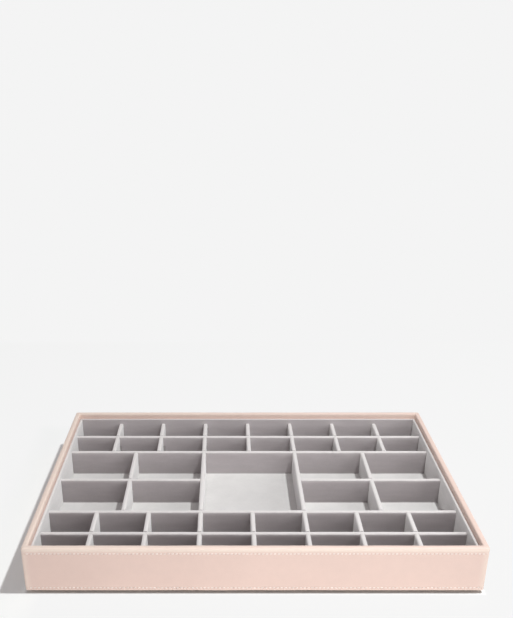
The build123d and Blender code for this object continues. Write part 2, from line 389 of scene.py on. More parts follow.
class Graph:
    """Short way to build a node tree."""

    def __init__(self, tree: bpy.types.NodeTree) -> None:
        """Keeps the tree and empties it."""
        self.tree = tree
        self.tree.nodes.clear()

    def node(self, kind: str, inputs: Optional[Dict[Any, Any]] = None, **settings: Any) -> bpy.types.Node:
        """Adds a node.

        Args:
            kind: its type, without the ShaderNode in front.
            inputs: sockets by name or number, each with a value or with the socket to link.
            settings: the node's own settings.

        Returns:
            The node.
        """
        made = self.tree.nodes.new(kind if kind.startswith("Node") else "ShaderNode" + kind)
        for key, value in settings.items():
            setattr(made, key, value)
        for key, value in (inputs or {}).items():
            if isinstance(value, Socket):
                self.tree.links.new(value, made.inputs[key])
            else:
                made.inputs[key].default_value = value
        return made

    def maths(self, operation: str, first: Any, second: Any = 0.0) -> Socket:
        """Result of one sum on two values or sockets."""
        return self.node("Math", {0: first, 1: second}, operation=operation).outputs[0]

    def times(self, first: Any, second: Any) -> Socket:
        """Product of two values or sockets."""
        return self.maths("MULTIPLY", first, second)

    def spread(self, value: Socket, source: Span, target: Span = (0.0, 1.0)) -> Socket:
        """A value moved from one range to another and kept inside it."""
        names = ("Value", "From Min", "From Max", "To Min", "To Max")
        return self.node("MapRange", dict(zip(names, (value, *source, *target)))).outputs[0]

    def blend(self, factor: Any, first: Any, second: Any, mode: str = "MIX") -> Socket:
        """Mix of two colours."""
        inputs = {0: factor, 6: first, 7: second}
        return self.node("Mix", inputs, data_type="RGBA", blend_type=mode).outputs[2]

    def shade(self, colour: Any, gain: Socket) -> Socket:
        """A colour times a gain."""
        grey = self.node("CombineColor", {0: gain, 1: gain, 2: gain}).outputs[0]
        return self.blend(1.0, colour, grey, "MULTIPLY")

    def noise(self, vector: Socket, scale: Any, detail: float, roughness: float = 0.5) -> bpy.types.Node:
        """Cloudy noise."""
        inputs = {"Vector": vector, "Scale": scale, "Detail": detail, "Roughness": roughness}
        return self.node("TexNoise", inputs)

    def stretched(self, vector: Socket, scale: Place) -> Socket:
        """A vector times a scale for each axis."""
        return self.node("Mapping", {"Vector": vector, "Scale": scale}).outputs[0]

    def place(self) -> Socket:
        """Object coordinates, in metres."""
        return self.node("TexCoord").outputs["Object"]

    def shared(self, make: Callable[[], "Group"], **inputs: Any) -> Any:
        """Outputs of a shared group at the object's coordinates; the group is made when first asked for."""
        tree = bpy.data.node_groups.get(make.__name__) or make().tree
        return self.node("Group", {"Vector": self.place(), **inputs}, node_tree=tree).outputs


class Group(Graph):
    """A shared node group, with a Vector among its inputs."""
    kinds: ClassVar[Dict[str, str]] = {
        "Vector": "Vector", "Color": "Color", "Rubbed": "Color", "Fleck": "Color",
    }

    def __init__(self, name: str, *inputs: str) -> None:
        """Makes the group and its inputs.

        Args:
            name: name of the group, the same as its function's.
            inputs: names of the inputs besides Vector.
        """
        super().__init__(bpy.data.node_groups.new(name, "ShaderNodeTree"))
        for title in ("Vector", *inputs):
            self.socket(title, "INPUT")
        self.given = self.node("NodeGroupInput").outputs

    def socket(self, title: str, side: str) -> None:
        """Adds an input or an output: a vector or a colour where its name says so, else a number."""
        kind = "NodeSocket" + self.kinds.get(title, "Float")
        self.tree.interface.new_socket(title, in_out=side, socket_type=kind)

    def give(self, **outputs: Socket) -> "Group":
        """Makes the group's outputs.

        Args:
            outputs: by name, the socket that each one gives.

        Returns:
            The group.
        """
        for title in outputs:
            self.socket(title, "OUTPUT")
        self.node("NodeGroupOutput", outputs)
        return self


NOISE_RANGE = (0.3, 0.7)


def tone() -> Group:
    """Colour that varies gently: a broad noise and a finer one multiply it.

    Returns:
        The group, with a Color output.
    """
    group = Group("tone", "Color", "Scale", "Amount")
    vector, scale = group.given["Vector"], group.given["Scale"]
    fineness = 7.0
    broad_share, fine_share = 0.6, 0.4
    broad = group.times(group.noise(vector, scale, 3.0).outputs[0], broad_share)
    fine = group.times(group.noise(vector, group.times(scale, fineness), 2.0).outputs[0], fine_share)
    change = group.spread(group.maths("ADD", broad, fine), NOISE_RANGE, (-1.0, 1.0))
    gain = group.maths("ADD", group.times(change, group.given["Amount"]), 1.0)
    return group.give(Color=group.shade(group.given["Color"], gain))


def pebble_grain() -> Group:
    """Pebbled grain of coated cloth: soft-edged cells with thin creases between them.

    Returns:
        The group, with Height and Crease outputs.
    """
    group = Group("pebble_grain", "Scale")
    vector, scale = group.given["Vector"], group.given["Scale"]
    shift = 0.5 * MM
    dome_width, crease_width = 0.22, 0.08
    fine_share = 0.3
    warp = group.noise(vector, scale, 1.0)
    shifted = group.node("VectorMath", {0: warp.outputs["Color"], 1: (shift,) * 3}, operation="MULTIPLY")
    moved = group.node("VectorMath", {0: vector, 1: shifted.outputs[0]}, operation="ADD")
    cells = group.node("TexVoronoi", {"Vector": moved.outputs[0], "Scale": scale}, feature="DISTANCE_TO_EDGE")
    dome = group.spread(cells.outputs[0], (0.0, dome_width))
    crease = group.maths("SUBTRACT", 1.0, group.spread(cells.outputs[0], (0.0, crease_width)))
    height = group.maths("ADD", dome, group.times(warp.outputs[0], fine_share))
    return group.give(Height=height, Crease=crease)


def nap() -> Group:
    """Short pile: tufts a little longer upwards than across, and streaky patches that lie another way.

    Returns:
        The group, with Height and Lie outputs.
    """
    group = Group("nap", "Scale")
    vector, scale = group.given["Vector"], group.given["Scale"]
    tuft_stretch, patch_stretch = (1.0, 1.0, 0.55), (0.4, 0.4, 2.2)
    patch_share = 0.045
    patch_range = (0.32, 0.68)
    tufts = group.noise(group.stretched(vector, tuft_stretch), scale, 3.0, 0.7)
    patches = group.noise(group.stretched(vector, patch_stretch), group.times(scale, patch_share), 4.0, 0.6)
    return group.give(Height=tufts.outputs[0], Lie=group.spread(patches.outputs[0], patch_range))


def edge_wear_and_highlight() -> Group:
    """Rubbed edges and painted highlights: the paler colour shows where the mask is high, broken up by noise.

    Returns:
        The group, with a Color output.
    """
    group = Group("edge_wear_and_highlight", "Color", "Rubbed", "Mask", "Amount")
    patch_scale = 160.0
    patch_range, least_and_most = (0.35, 0.65), (0.8, 1.0)
    patchy = group.noise(group.given["Vector"], patch_scale, 4.0).outputs[0]
    broken = group.times(group.spread(patchy, patch_range, least_and_most), group.given["Mask"])
    amount = group.times(broken, group.given["Amount"])
    return group.give(Color=group.blend(amount, group.given["Color"], group.given["Rubbed"]))


def board_flecks() -> Group:
    """Pressed board: short fibres and darker flecks in a mat of fine noise.

    Returns:
        The group, with Color and Height outputs.
    """
    group = Group("board_flecks", "Color", "Fleck", "Scale")
    fleck, scale = group.given["Fleck"], group.given["Scale"]
    fibre_stretch = (0.35, 1.0, 1.0)
    spot_range, spot_shares = (0.1, 0.24), (0.7, 0.0)
    fibre_shares = (0.0, 0.35)
    lengthened = group.stretched(group.given["Vector"], fibre_stretch)
    fibres = group.noise(lengthened, scale, 4.0).outputs[0]
    spots = group.node("TexVoronoi", {"Vector": lengthened, "Scale": scale}).outputs["Distance"]
    tinted = group.blend(group.spread(spots, spot_range, spot_shares), group.given["Color"], fleck)
    mixed = group.blend(group.spread(fibres, NOISE_RANGE, fibre_shares), tinted, fleck)
    return group.give(Color=mixed, Height=fibres)


def linear(red: int, green: int, blue: int) -> Colour:
    """Screen colour from 0 to 255 as a linear colour."""
    values = [channel / 255 for channel in (red, green, blue)]
    return (*(v / 12.92 if v <= 0.04045 else ((v + 0.055) / 1.055) ** 2.4 for v in values), 1.0)


@dataclass(frozen=True)
class Finish:
    """A finish: the record's slot, its colour and roughness, its gentle tone and its relief."""
    slot: str
    colour: Colour
    roughness: float
    tone_scale: float = 20.0
    tone_amount: float = 0.05
    relief: float = 0.05 * MM
    relief_share: float = 0.5

    def material(self) -> bpy.types.Material:
        """The finish's material, built when it is first asked for.

        Returns:
            The material.
        """
        name = f"{type(self).__name__.lower()}_{self.slot}"
        known = bpy.data.materials.get(name)
        if known is not None:
            return known
        material = bpy.data.materials.new(name)
        material.use_nodes = True
        graph = Graph(material.node_tree)
        shader = graph.node("BsdfPrincipled", {"Roughness": self.roughness, **self.pattern(graph)})
        graph.node("OutputMaterial", {"Surface": shader.outputs[0]})
        return material

    def pattern(self, graph: Graph) -> Dict[str, Any]:
        """Inputs of the shader by name; each kind of finish has its own."""
        raise NotImplementedError

    def toned(self, graph: Graph, colour: Any) -> Socket:
        """A colour with the finish's gentle tone."""
        return graph.shared(tone, Color=colour, Scale=self.tone_scale, Amount=self.tone_amount)["Color"]

    def with_wear_and_highlight(self, graph: Graph, colour: Socket, rubbed: Colour, amount: float) -> Socket:
        """A colour with rubbed edges and painted highlights."""
        mask = graph.node("Attribute", attribute_name="wear_and_highlight").outputs["Fac"]
        return graph.shared(edge_wear_and_highlight, Color=colour, Rubbed=rubbed, Mask=mask, Amount=amount)["Color"]

    def raised(self, graph: Graph, height: Socket) -> Socket:
        """Normal for a pattern that is as high as the finish's relief."""
        inputs = {"Height": height, "Distance": self.relief, "Strength": self.relief_share}
        return graph.node("Bump", inputs).outputs[0]


@dataclass(frozen=True)
class Leatherette(Finish):
    """Satin coated cloth with a fine pebbled grain, paler where its edges are rubbed and where a highlight is
    painted on, and with painted shade in the grain's creases.
    """
    tone_scale: float = 22.0
    tone_amount: float = 0.025
    relief: float = 0.03 * MM
    relief_share: float = 0.6
    rubbed: Colour = (1, 1, 1, 1)
    rubbed_share: float = 0.9
    grain_scale: float = 1500.0
    # Darker colour for the grain's creases: painted shade.
    crease: Colour = linear(196, 150, 138)
    crease_share: float = 0.12
    crease_roughness: float = 0.16

    def pattern(self, graph: Graph) -> Dict[str, Any]:
        """Grain in the bump and roughness, gentle tone, painted shade in the grain's creases, and rubbed
        edges with painted highlights.

        Args:
            graph: the material's graph.

        Returns:
            Inputs of the shader by name.
        """
        grain = graph.shared(pebble_grain, Scale=self.grain_scale)
        # The creases take the darker crease colour: painted shade.
        creases = graph.times(grain["Crease"], self.crease_share)
        creased = graph.blend(creases, self.toned(graph, self.colour), self.crease)
        rough = (self.roughness, self.roughness + self.crease_roughness)
        return {
            "Base Color": self.with_wear_and_highlight(graph, creased, self.rubbed, self.rubbed_share),
            "Roughness": graph.spread(grain["Crease"], (0.0, 1.0), rough),
            "Normal": self.raised(graph, grain["Height"]),
        }


@dataclass(frozen=True)
class Velvet(Finish):
    """Short-pile velvet, coloured by the angle of view: darkest seen from a little above, which is painted
    shade, and paler at a slant, which is painted sheen.
    """
    tone_scale: float = 45.0
    tone_amount: float = 0.025
    relief: float = 0.12 * MM
    level: Colour = (1, 1, 1, 1)
    slanted: Colour = (1, 1, 1, 1)
    # Pale colour of the top edges: painted highlight.
    top_highlight: Colour = (1, 1, 1, 1)
    top_highlight_share: float = 0.95
    shade_facing: Span = (0.11, 0.17)
    sheen_facing: Span = (0.19, 0.43)
    sheen: float = 1.0
    sheen_roughness: float = 0.4
    specular: float = 0.15
    tuft_scale: float = 1800.0
    lie_gain: Span = (0.955, 1.04)
    tuft_gain: Span = (0.95, 1.04)

    def pattern(self, graph: Graph) -> Dict[str, Any]:
        """Colour by the angle of view (painted shade and sheen), tufts in the bump, patches of another lie,
        and a painted highlight on the top edges.

        Args:
            graph: the material's graph.

        Returns:
            Inputs of the shader by name.
        """
        facing = graph.node("LayerWeight", {"Blend": 0.5}).outputs["Facing"]
        # Seen a little from above, as the front rows' walls are, the colour darkens from the level colour:
        # painted shade.
        view_shaded = graph.blend(graph.spread(facing, self.shade_facing), self.level, self.colour)
        # At a slant the colour pales to the slanted colour: painted sheen.
        turned = graph.blend(graph.spread(facing, self.sheen_facing), view_shaded, self.slanted)
        pile = graph.shared(nap, Scale=self.tuft_scale)
        lie = graph.spread(pile["Lie"], (0.0, 1.0), self.lie_gain)
        tufts = graph.spread(pile["Height"], NOISE_RANGE, self.tuft_gain)
        napped = graph.shade(self.toned(graph, turned), graph.times(lie, tufts))
        return {
            "Sheen Weight": self.sheen,
            "Sheen Roughness": self.sheen_roughness,
            "Specular IOR Level": self.specular,
            # The top edges take the pale top colour: painted highlight.
            "Base Color": self.with_wear_and_highlight(graph, napped, self.top_highlight, self.top_highlight_share),
            "Normal": self.raised(graph, pile["Height"]),
        }


@dataclass(frozen=True)
class Thread(Finish):
    """Two-ply sewing thread with a low lustre."""
    tone_scale: float = 700.0
    tone_amount: float = 0.06
    relief: float = 0.06 * MM
    relief_share: float = 0.7
    groove: Colour = linear(205, 170, 160)
    groove_range: Span = (0.0, 0.5)
    groove_shares: Span = (0.3, 0.0)

    def pattern(self, graph: Graph) -> Dict[str, Any]:
        """Plies as slanting bands on the thread's own map, painted shade between them, and fluff in the tone.

        Args:
            graph: the material's graph.

        Returns:
            Inputs of the shader by name.
        """
        own_map = graph.node("UVMap", uv_map="thread").outputs[0]
        bands = {"Vector": own_map, "Scale": 0.64, "Distortion": 0.6, "Detail": 1.0}
        plies = graph.node("TexWave", bands, bands_direction="DIAGONAL").outputs["Fac"]
        # Between the plies the colour darkens towards the groove colour: painted shade.
        between = graph.spread(plies, self.groove_range, self.groove_shares)
        return {
            "Base Color": graph.blend(between, self.toned(graph, self.colour), self.groove),
            "Normal": self.raised(graph, plies),
        }


@dataclass(frozen=True)
class Flock(Finish):
    """Thin flocked lining, dense and very matt."""
    tone_scale: float = 30.0
    tone_amount: float = 0.16
    relief: float = 0.08 * MM
    relief_share: float = 0.6
    sheen: float = 0.35
    sheen_roughness: float = 0.5
    tuft_scale: float = 2600.0
    tuft_gain: Span = (0.75, 1.25)

    def pattern(self, graph: Graph) -> Dict[str, Any]:
        """Fine nap, with broad patches where the flock lies another way.

        Args:
            graph: the material's graph.

        Returns:
            Inputs of the shader by name.
        """
        height = graph.shared(nap, Scale=self.tuft_scale)["Height"]
        gain = graph.spread(height, NOISE_RANGE, self.tuft_gain)
        return {
            "Sheen Weight": self.sheen,
            "Sheen Roughness": self.sheen_roughness,
            "Base Color": graph.shade(self.toned(graph, self.colour), gain),
            "Normal": self.raised(graph, height),
        }


@dataclass(frozen=True)
class PressedBoard(Finish):
    """Raw pressed board, greyboard or fibreboard, with fibres and flecks."""
    tone_scale: float = 18.0
    tone_amount: float = 0.06
    fleck: Colour = (0.1, 0.1, 0.1, 1)
    fibre_scale: float = 900.0

    def pattern(self, graph: Graph) -> Dict[str, Any]:
        """Flecks and fibres in the colour, fibres in the bump.

        Args:
            graph: the material's graph.

        Returns:
            Inputs of the shader by name.
        """
        board = graph.shared(board_flecks, Color=self.colour, Fleck=self.fleck, Scale=self.fibre_scale)
        height = self.raised(graph, board["Height"])
        return {"Base Color": self.toned(graph, board["Color"]), "Normal": height}


# The pale rubbed colour is mostly a painted highlight on the rim, the hem and the inner leg, and partly
# rubbed wear.
LEATHERETTE = Leatherette("leatherette", linear(230, 204, 193), 0.42, rubbed=linear(246, 231, 217))
# Velvet colours: level (seen nearly face-on) and colour (seen from a little above) paint the shade of the
# front rows, slanted is painted sheen, and crushed is the painted highlight on top edges.
VELVET = Velvet(
    "velvet", linear(171, 165, 166), 0.9, level=linear(192, 186, 187),
    slanted=linear(230, 229, 227), top_highlight=linear(232, 229, 227),
)
THREAD = Thread("thread", linear(255, 250, 244), 0.55)
FLOCK = Flock("lining", linear(92, 87, 86), 0.95)
GREYBOARD = PressedBoard("greyboard", linear(164, 160, 152), 0.9, fleck=linear(104, 98, 90))
FIBREBOARD = PressedBoard(
    "fibreboard", linear(180, 156, 126), 0.85, fleck=linear(112, 88, 64), fibre_scale=600.0,
)
# Dark board for the plinth: partly its dark covering, partly painted shade for the gap under the hem.
DARK_GAP_BOARD = PressedBoard(
    "stained_board", linear(60, 56, 54), 0.85, fleck=linear(38, 35, 34), fibre_scale=600.0,
)


# Outer wrap and its stitching

@dataclass(frozen=True)
class StitchPlan:
    """Where the stitches are: both lines on all four faces."""
    pitch: float = 3.7 * MM
    corner_margin: float = 1.2 * MM
    stitch_gap: float = 1.0 * MM
    levels: ClassVar[Dict[str, float]] = {"rim": 45.6 * MM, "hem": 6.6 * MM}

    def centres(self, half_run: float) -> Array:
        """Centres of the stitches on one face, from its half length between the corner arcs."""
        count = int((2 * (half_run - self.corner_margin) + self.stitch_gap) / self.pitch)
        return (np.arange(count) - (count - 1) / 2) * self.pitch

    def holes(self, half_run: float) -> Array:
        """Needle holes on one face: half a pitch either side of each stitch."""
        centres = self.centres(half_run)
        return np.append(centres - self.pitch / 2, centres[-1] + self.pitch / 2)


@dataclass
class OuterWrap:
    """Leatherette ring: inner leg, rim, outside with two stitch grooves, hem and turned-under flange."""
    plan: StitchPlan
    finish: Finish
    thickness: float = 0.9 * MM
    corner_radius: float = 2.6 * MM
    inner_corner_radius: float = 0.5 * MM
    rim_outer_radius: float = 2.0 * MM
    rim_inner_radius: float = 1.6 * MM
    hem_radius: float = 0.8 * MM
    groove_depth: float = 0.25 * MM
    groove_half_width: float = 0.6 * MM
    hole_depth: float = 0.4 * MM
    hole_half_width: float = 0.5 * MM
    hole_shoulder: float = 0.6 * MM
    seam_x: float = -186.5 * MM
    seam_gap: float = 0.12 * MM
    seam_margin: float = 0.15 * MM
    swell: Swell = Swell(0.09 * MM, 90 * MM)
    seed: int = 3
    flat_top: float = 1.3 * MM
    rim_fade: float = 2.3 * MM
    leg_fade: float = 3.0 * MM
    hem_fade: float = 1.2 * MM
    corner_fade: float = 3 * MM
    # Painted highlight on the rim top at the left end, the middle and the right end.
    rim_highlight_shares: Place = (0.88, 0.45, 0.2)
    corner_share: float = 0.4
    hem_share: float = 0.35
    corner_steps: int = 8
    groove_rows: ClassVar[Array] = np.array([-1.5, -0.95, -0.62, -0.36, 0.0, 0.36, 0.62, 0.95, 1.5]) * MM
    outside_rows: ClassVar[Array] = np.array([43.0, 37.0, 29.0, 21.0, 14.0, 10.5]) * MM
    leg_rows: ClassVar[Array] = np.array([20.0, 33.0, 42.0, 45.6, 47.0, 48.4]) * MM
    flange_rows: ClassVar[Array] = np.array([2.6, 5.0]) * MM
    back_rows: ClassVar[Array] = np.array([20.0, 36.0]) * MM
    leg_back_row: float = 28 * MM
    node: str = "outer_wrap"

    def __post_init__(self) -> None:
        """Reads the places of the pieces that the wrap meets."""
        self.extent = Extent.of_node(self.node)
        self.inner_face = Extent.of_node("liner_velvet_left").low[0] - self.extent.low[0]
        self.leg_bottom = Extent.of_node("base_board").high[2]
        self.flange_inset = Extent.of_node("plinth_board").low[0] - self.extent.low[0]

    def outside_levels(self) -> Array:
        """Heights of the profile's points on the outside, close together at the stitch lines.

        Returns:
            The heights, from the top down.
        """
        low, high = self.extent.low[2] + self.hem_radius, self.extent.high[2] - self.rim_outer_radius
        lines = np.concatenate([self.groove_rows + height for height in self.plan.levels.values()])
        heights = np.unique(np.concatenate([lines, self.outside_rows, [(high + lines.max()) / 2]]))
        return heights[within(heights, (low, high))][::-1]

    def profile(self) -> Tuple[Array, Array]:
        """Closed loop of the wrap's cut edge, as (distance in from the outside, height).

        Formula: straight runs joined by quarter circles, up the inner leg, over the rim, down the
        outside, round the hem, along the flange, and back on the side of the boards.

        Returns:
            Points of the loop, and for each whether it is on the side that shows.
        """
        low, top = self.extent.span(2)
        inner, outer, hem = self.rim_inner_radius, self.rim_outer_radius, self.hem_radius
        thick, depth = self.thickness, self.inner_face
        shown = [
            upright(depth, [self.leg_bottom, *self.leg_rows]),
            arc((depth - inner, top - inner), inner, (0, 90), 6),
            level([(depth - inner + outer) / 2], top),
            arc((outer, top - outer), outer, (90, 180), 7),
            upright(0.0, self.outside_levels()),
            arc((hem, low + hem), hem, (180, 270), 4),
            level([*self.flange_rows, self.flange_inset], low),
        ]
        hidden = [
            level([self.flange_inset, thick], low + thick),
            upright(thick, self.back_rows),
            arc((outer, top - outer), outer - thick, (180, 90), 3),
            arc((depth - inner, top - inner), inner - thick, (90, 0), 3),
            upright(depth - thick, [self.leg_back_row, self.leg_bottom]),
        ]
        loop = np.concatenate(shown + hidden)
        return loop, np.arange(len(loop)) < sum(len(part) for part in shown)

    def path(self) -> Tuple[Array, Array, Array]:
        """Stations round the tray, anticlockwise from the seam at the back.

        Returns:
            Shares of the half run along X and Y with the facing angle, (n, 3); for each station
            how much of a needle hole it is; and how near it is to a corner.
        """
        half = [self.extent.high[axis] - self.corner_radius for axis in (0, 1)]
        runs = []
        for end in half:
            holes = self.plan.holes(end)
            beside = [holes - self.hole_shoulder, holes + self.hole_shoulder]
            places = np.sort(np.concatenate([holes, *beside, [-end, end]]))
            places = places[np.abs(places) <= end + TINY]
            runs += [places / end, (apart(places, holes) < TINY).astype(float)]
        x, x_hole, y, y_hole = runs
        seam = (self.seam_x + np.array([-0.5, 0.5]) * self.seam_gap) / half[0]
        left = x < seam[0] - self.seam_margin / half[0]
        right = x > seam[1] + self.seam_margin / half[0]
        turn = np.linspace(0, 90, self.corner_steps + 1)[1:-1]
        parts = (
            (np.append(seam[0], x[left][::-1]), 1, 90, np.append(0, x_hole[left][::-1])),
            (-1, 1, 90 + turn, 0),
            (-1, y[::-1], 180, y_hole[::-1]),
            (-1, -1, 180 + turn, 0),
            (x, -1, 270, x_hole),
            (1, -1, 270 + turn, 0),
            (1, y, 0, y_hole),
            (1, 1, turn, 0),
            (np.append(x[right][::-1], seam[1]), 1, 90, np.append(x_hole[right][::-1], 0)),
        )
        columns = zip(*(np.broadcast_arrays(*part) for part in parts))
        share_x, share_y, angle, hole = (np.concatenate(column) for column in columns)
        reach = np.maximum((1 - np.abs(share_x)) * half[0], (1 - np.abs(share_y)) * half[1])
        return np.stack([share_x, share_y, np.radians(angle)], axis=1), hole, bell(reach, self.corner_fade)

    def ring(self, stops: Array, inset: Array, height: Array) -> Array:
        """Places on the ring.

        Formula: at a distance in from the outside, the ring is a rounded rectangle: its half runs
        times the station's shares, plus the corner radius times (cosine, sine) of the facing angle.

        Args:
            stops: shares and facing angle of each station.
            inset: distances in from the outside.
            height: heights.

        Returns:
            Points, (stations, profile points, 3).
        """
        radius = np.maximum(self.corner_radius - inset, self.inner_corner_radius)
        share_x, share_y, angle = (column[:, None] for column in stops.T)
        x = share_x * (self.extent.high[0] - inset - radius) + radius * np.cos(angle)
        y = share_y * (self.extent.high[1] - inset - radius) + radius * np.sin(angle)
        return np.stack([x, y, np.broadcast_to(height, x.shape)], axis=-1)

    def build(self) -> None:
        """Carries the profile round the tray.

        Formula: grooves, needle holes and waves move the shown side along the profile's normal.
        """
        loop, visible = self.profile()
        stops, hole, closeness = self.path()
        step = np.roll(loop, -1, axis=0) - np.roll(loop, 1, axis=0)
        upward, outward = (step / np.linalg.norm(step, axis=1, keepdims=True) * (-1, 1)).T
        across, heights = loop.T
        on_outside = visible & (across < TINY)
        lines = self.plan.levels.values()
        groove = sum(bell(heights - line, self.groove_half_width, 4) for line in lines)
        pricked = sum(bell(heights - line, self.hole_half_width) for line in lines)
        inward = on_outside * (self.groove_depth * groove + self.hole_depth * hole[:, None] * pricked)
        plain = self.ring(stops, across + 0 * hole[:, None], heights)
        moved = self.swell.at(plain, self.seed) * visible - inward
        points = self.ring(stops, across + moved * outward, heights + moved * upward)
        index = np.arange(points[..., 0].size).reshape(points.shape[:2])
        turned = np.roll(index, -1, axis=1)
        quads = np.stack([index[:-1], turned[:-1], turned[1:], index[1:]], axis=-1).reshape(-1, 4)
        faces = [quads, index[:1, ::-1], index[-1:]]
        flat = np.arange(len(quads) + 2) >= len(quads)
        # The mask is painted highlight on the rim top (most at the left end), fading down the outside below
        # the rim, down the inner leg and up from the hem; it is also paler at the corners.
        below_rim = self.extent.high[2] - heights
        outside = bell(np.maximum(below_rim - self.rim_outer_radius, 0), self.rim_fade)
        sides = np.where(on_outside, outside, bell(below_rim, self.leg_fade))
        rim_highlight = np.interp(points[..., 0] / self.extent.high[0], (-1, 0, 1), self.rim_highlight_shares)
        hem = bell(heights - self.extent.low[2], self.hem_fade) * self.hem_share
        rubbed = np.where(below_rim < self.flat_top, rim_highlight, sides)
        rubbed = np.maximum(rubbed, closeness[:, None] * self.corner_share)
        wear_and_highlight = np.maximum(rubbed, hem) * visible
        piece = make_piece(self.node + "_skin", points.reshape(-1, 3), faces, flat, wear_and_highlight.reshape(-1))
        girth = 2 * (self.extent.size(0) + self.extent.size(1)) - self.seam_gap
        settle(piece, self.finish, self.node)


@dataclass
class Stitching:
    """Rows of separate stitches in the grooves of the wrap."""
    wrap: OuterWrap
    finish: Finish
    half_length: float = 1.18 * MM
    half_width: float = 0.47 * MM
    half_height: float = 0.3 * MM
    rise: float = 0.12 * MM
    end_depth: float = 0.2 * MM
    slant: float = 4.0
    slant_spread: float = 1.4
    length_spread: float = 0.03
    ply_swell: float = 0.09
    ply_turn: float = 3.2
    end_narrowing: float = 0.34
    map_length: float = 2.0
    rings: int = 6
    sides: int = 8
    first_seed: int = 20

    def row(self, face: Face, line: str, seed: int) -> None:
        """Builds one row of stitches.

        Formula: a stitch is a tube round an arched line. Along it, from -1 to 1, the line rises by
        one less the fourth power, and the tube narrows by a third of the sixth power; its round is
        an ellipse whose radius swells twice a turn, so that the two plies show.

        Args:
            face: side of the tray.
            line: rim or hem.
            seed: seed of the small differences between stitches.
        """
        extent, plan = self.wrap.extent, self.wrap.plan
        centres = plan.centres(extent.high[1 - face.across] - self.wrap.corner_radius)
        count = len(centres)
        draw = np.random.default_rng(seed)
        tilt = np.radians(self.slant + draw.normal(0, self.slant_spread, count))[:, None, None]
        stretch = (1 + draw.normal(0, self.length_spread, count))[:, None, None]
        s = np.linspace(-1, 1, self.rings + 1)[None, :, None]
        turn = (np.arange(self.sides) / self.sides * 2 * np.pi)[None, None, :]
        swell = 1 + self.ply_swell * np.cos(2 * turn + self.ply_turn * s)
        thick = swell * (1 - self.end_narrowing * np.abs(s) ** 6)
        along = s * self.half_length * stretch + 0 * turn
        up = self.half_width * thick * np.sin(turn) + along * np.tan(tilt)
        arched = self.rise - (self.rise + self.end_depth) * np.abs(s) ** 4
        out = arched + self.half_height * thick * np.cos(turn) + 0 * along
        seat = extent.high[face.across] - self.wrap.groove_depth
        middle = face.outward * seat + UP * plan.levels[line] + centres[:, None, None, None] * face.along
        points = middle + along[..., None] * face.along + out[..., None] * face.outward + up[..., None] * UP
        index = np.arange(along.size).reshape(along.shape)
        turned = np.roll(index, -1, axis=2)
        quads = np.stack([index[:, :-1], index[:, 1:], turned[:, 1:], turned[:, :-1]], axis=-1).reshape(-1, 4)
        ring = np.arange(self.rings)[None, :, None] + 0 * index[:, :-1]
        side = np.arange(self.sides)[None, None, :] + 0 * ring
        corners = [(ring, side), (ring + 1, side), (ring + 1, side + 1), (ring, side + 1)]
        shares = [np.stack([a / self.rings * self.map_length, b / self.sides], axis=-1) for a, b in corners]
        uv = np.concatenate([np.stack(shares, axis=-2).reshape(-1, 2), np.zeros((2 * count * self.sides, 2))])
        node = f"{line}_stitching_{face.word}"
        faces = [quads, index[:, 0, :], index[:, -1, ::-1]]
        settle(make_piece(node + "_thread", points.reshape(-1, 3), faces, uv=uv), self.finish, node)

    def build(self) -> None:
        """Builds both lines on all four faces."""
        rows = [(face, line) for face in Face for line in self.wrap.plan.levels]
        for number, (face, line) in enumerate(rows):
            self.row(face, line, self.first_seed + number)


# Velvet dividers

@dataclass
class Divider:
    """One divider: its sleeve's extent, where others cross it and where they plug into it."""
    name: str
    axis: Axis
    extent: Extent
    laps: List[float] = field(default_factory=list)
    slots: List[Tuple[float, int]] = field(default_factory=list)

    @property
    def along(self) -> Span:
        """First and last place along the divider."""
        return self.extent.span(self.axis.value)

    @property
    def across(self) -> float:
        """Place of the divider's middle across it."""
        return self.extent.middle(1 - self.axis.value)

    @property
    def turn(self) -> int:
        """Way across that is positive on the arch, 1 or -1, so that faces point outwards."""
        return 1 if self.axis is Axis.X else -1

    def place(self, along: Array, across: Array, height: Array) -> Array:
        """Places in the tray for places along, across and up the divider."""
        u, v, z = np.broadcast_arrays(along, self.across + self.turn * across, height)
        return np.stack([u, v, z] if self.axis is Axis.X else [v, u, z], axis=-1)


